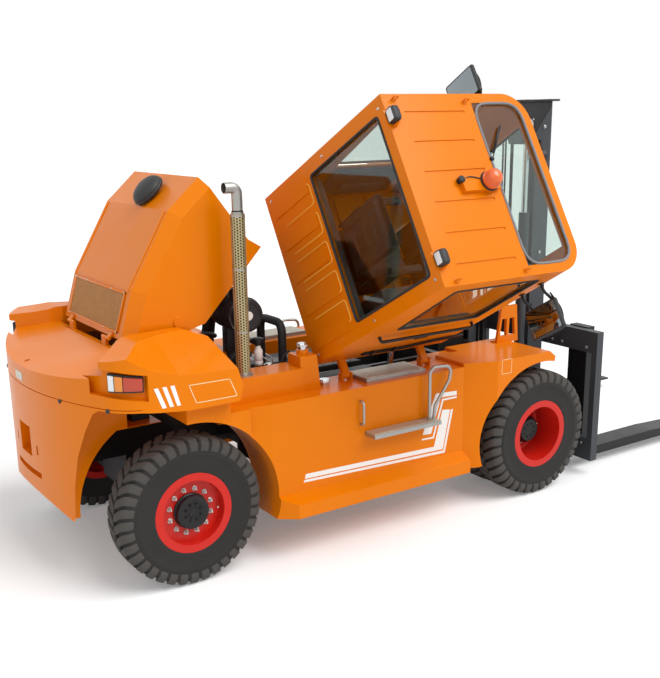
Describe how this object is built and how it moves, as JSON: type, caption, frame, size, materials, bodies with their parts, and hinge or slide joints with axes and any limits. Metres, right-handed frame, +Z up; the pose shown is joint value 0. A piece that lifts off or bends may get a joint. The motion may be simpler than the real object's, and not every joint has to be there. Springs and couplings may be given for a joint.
{
  "type": "diesel forklift truck",
  "caption": "Heavy counterbalanced diesel forklift with a side-tilting cab, lifting hood, two-stage mast, twin front wheels and steered rear wheels",
  "frame": {"origin": "middle of the whole truck's box, on the ground", "axes": "+X forward to the forks, +Y to the driver's left, +Z up; cab tipped to the right and hood open, as pictured"},
  "size_m": [7.44, 3.4164, 3.6776],
  "materials": {
    "orange_paint": "satin orange enamel",
    "red_paint": "satin red enamel",
    "dark_paint": "satin dark grey enamel",
    "black_paint": "semi-matte black enamel",
    "steel": "bare steel",
    "chrome_rod": "hard-chromed rod",
    "cast_iron": "painted casting",
    "tyre_rubber": "matt rubber",
    "glass": "clear, faintly tinted",
    "black_plastic": "matt moulded",
    "amber_plastic": "moulded lens",
    "vinyl": "black vinyl"
  },
  "bodies": {
    "chassis": {"chassis_frame": "black_paint", "counterweight": "orange_paint", "left_tank": "orange_paint", "right_tank": "orange_paint", "left_fender": "orange_paint", "right_fender": "orange_paint", "boarding_steps": "steel", "steer_axle": "cast_iron", "drive_axle": "cast_iron", "engine_block": "cast_iron", "radiator": "black_paint", "air_cleaner": "black_plastic", "exhaust_stack": "steel", "tail_lights": "amber_plastic"},
    "front_left_wheel": {"front_left_tyres": "tyre_rubber", "front_left_rims": "red_paint"},
    "front_right_wheel": {"front_right_tyres": "tyre_rubber", "front_right_rims": "red_paint"},
    "left_steer": {"left_knuckle": "cast_iron"},
    "right_steer": {"right_knuckle": "cast_iron"},
    "rear_left_wheel": {"rear_left_tyre": "tyre_rubber", "rear_left_rim": "red_paint"},
    "rear_right_wheel": {"rear_right_tyre": "tyre_rubber", "rear_right_rim": "red_paint"},
    "hood": {"hood_shell": "orange_paint", "hood_grille": "steel", "intake_cap": "black_plastic"},
    "cab": {"cab_floor": "orange_paint", "cab_roof": "orange_paint", "cab_rear_panel": "orange_paint", "cab_front_frame": "orange_paint", "cab_left_frame": "orange_paint", "cab_right_panel": "orange_paint", "cab_glass": "glass", "seat_cushion": "vinyl", "seat_back": "vinyl", "cab_interior": "black_plastic", "mirrors": "black_plastic", "work_lights": "black_plastic", "beacon": "amber_plastic"},
    "door": {"left_door": "orange_paint", "door_glass": "glass"},
    "cab_barrel": {"cab_tilt_barrel": "black_paint"},
    "cab_rod": {"cab_tilt_rod": "chrome_rod"},
    "mast": {"outer_mast": "dark_paint"},
    "inner_mast": {"inner_mast": "dark_paint", "lift_rods": "chrome_rod"},
    "carriage": {"carriage": "dark_paint", "forks": "black_paint"},
    "tilt_barrel": {"tilt_barrels": "dark_paint"},
    "tilt_rod": {"tilt_rods": "chrome_rod"}
  },
  "joints": [
    {"name": "front_left_spin", "type": "hinge", "parent": "chassis", "child": "front_left_wheel", "pos_m": [0.43, 1.36183, 0.5625], "axis": [0, 1, 0], "continuous": true},
    {"name": "front_right_spin", "type": "hinge", "parent": "chassis", "child": "front_right_wheel", "pos_m": [0.43, -0.47217, 0.5625], "axis": [0, 1, 0], "continuous": true},
    {"name": "left_steering", "type": "hinge", "parent": "chassis", "child": "left_steer", "pos_m": [-2.87, 1.22483, 0.5625], "axis": [0, 0, 1], "range_deg": [-65, 65]},
    {"name": "right_steering", "type": "hinge", "parent": "chassis", "child": "right_steer", "pos_m": [-2.87, -0.33516, 0.5625], "axis": [0, 0, 1], "range_deg": [-65, 65]},
    {"name": "rear_left_spin", "type": "hinge", "parent": "left_steer", "child": "rear_left_wheel", "pos_m": [-2.87, 1.36684, 0.5625], "axis": [0, 1, 0], "continuous": true},
    {"name": "rear_right_spin", "type": "hinge", "parent": "right_steer", "child": "rear_right_wheel", "pos_m": [-2.87, -0.47717, 0.5625], "axis": [0, 1, 0], "continuous": true},
    {"name": "hood_hinge", "type": "hinge", "parent": "chassis", "child": "hood", "pos_m": [-3.17, 0.44483, 1.775], "axis": [0, 1, 0], "range_deg": [0, 45]},
    {"name": "cab_tilt", "type": "hinge", "parent": "chassis", "child": "cab", "pos_m": [-0.87, -0.40516, 1.305], "axis": [-1, 0, 0], "range_deg": [0, 60]},
    {"name": "left_door_hinge", "type": "hinge", "parent": "cab", "child": "door", "pos_m": [-1.33, -0.21405, 3.02602], "axis": [0, -0.866, 0.5], "range_deg": [0, 85]},
    {"name": "cab_cylinder_swing", "type": "hinge", "parent": "chassis", "child": "cab_barrel", "pos_m": [-0.77, -0.10017, 0.56], "axis": [-1, 0, 0], "range_deg": [0, 6.15]},
    {"name": "cab_cylinder_slide", "type": "slide", "parent": "cab_barrel", "child": "cab_rod", "axis": [0, -0.1062, 0.9943], "range_m": [-0.29772, 0]},
    {"name": "mast_tilt", "type": "hinge", "parent": "chassis", "child": "mast", "pos_m": [0.85, 0.44483, 0.5], "axis": [0, -1, 0], "range_deg": [-6, 12]},
    {"name": "tilt_cylinder_swing", "type": "hinge", "parent": "chassis", "child": "tilt_barrel", "pos_m": [0.05, 0.44483, 1.44], "axis": [0, -1, 0], "range_deg": [-4, 7.5]},
    {"name": "tilt_cylinder_slide", "type": "slide", "parent": "tilt_barrel", "child": "tilt_rod", "axis": [0.9216, 0, 0.3881], "range_m": [-0.2545, 0.1261]},
    {"name": "mast_lift", "type": "slide", "parent": "mast", "child": "inner_mast", "axis": [0, 0, 1], "range_m": [0, 1.5]},
    {"name": "carriage_lift", "type": "slide", "parent": "inner_mast", "child": "carriage", "axis": [0, 0, 1], "range_m": [0, 1.5]}
  ],
  "couplings": [
    {"joint": "right_steering", "follows": "left_steering", "ratio": 1},
    {"joint": "cab_cylinder_swing", "follows": "cab_tilt", "ratio": 0.10163},
    {"joint": "cab_cylinder_slide", "follows": "cab_tilt", "m_per_rad": -0.28383},
    {"joint": "tilt_cylinder_swing", "follows": "mast_tilt", "ratio": 0.5601},
    {"joint": "tilt_cylinder_slide", "follows": "mast_tilt", "m_per_rad": -1.1858},
    {"joint": "carriage_lift", "follows": "mast_lift", "ratio": 1}
  ]
}
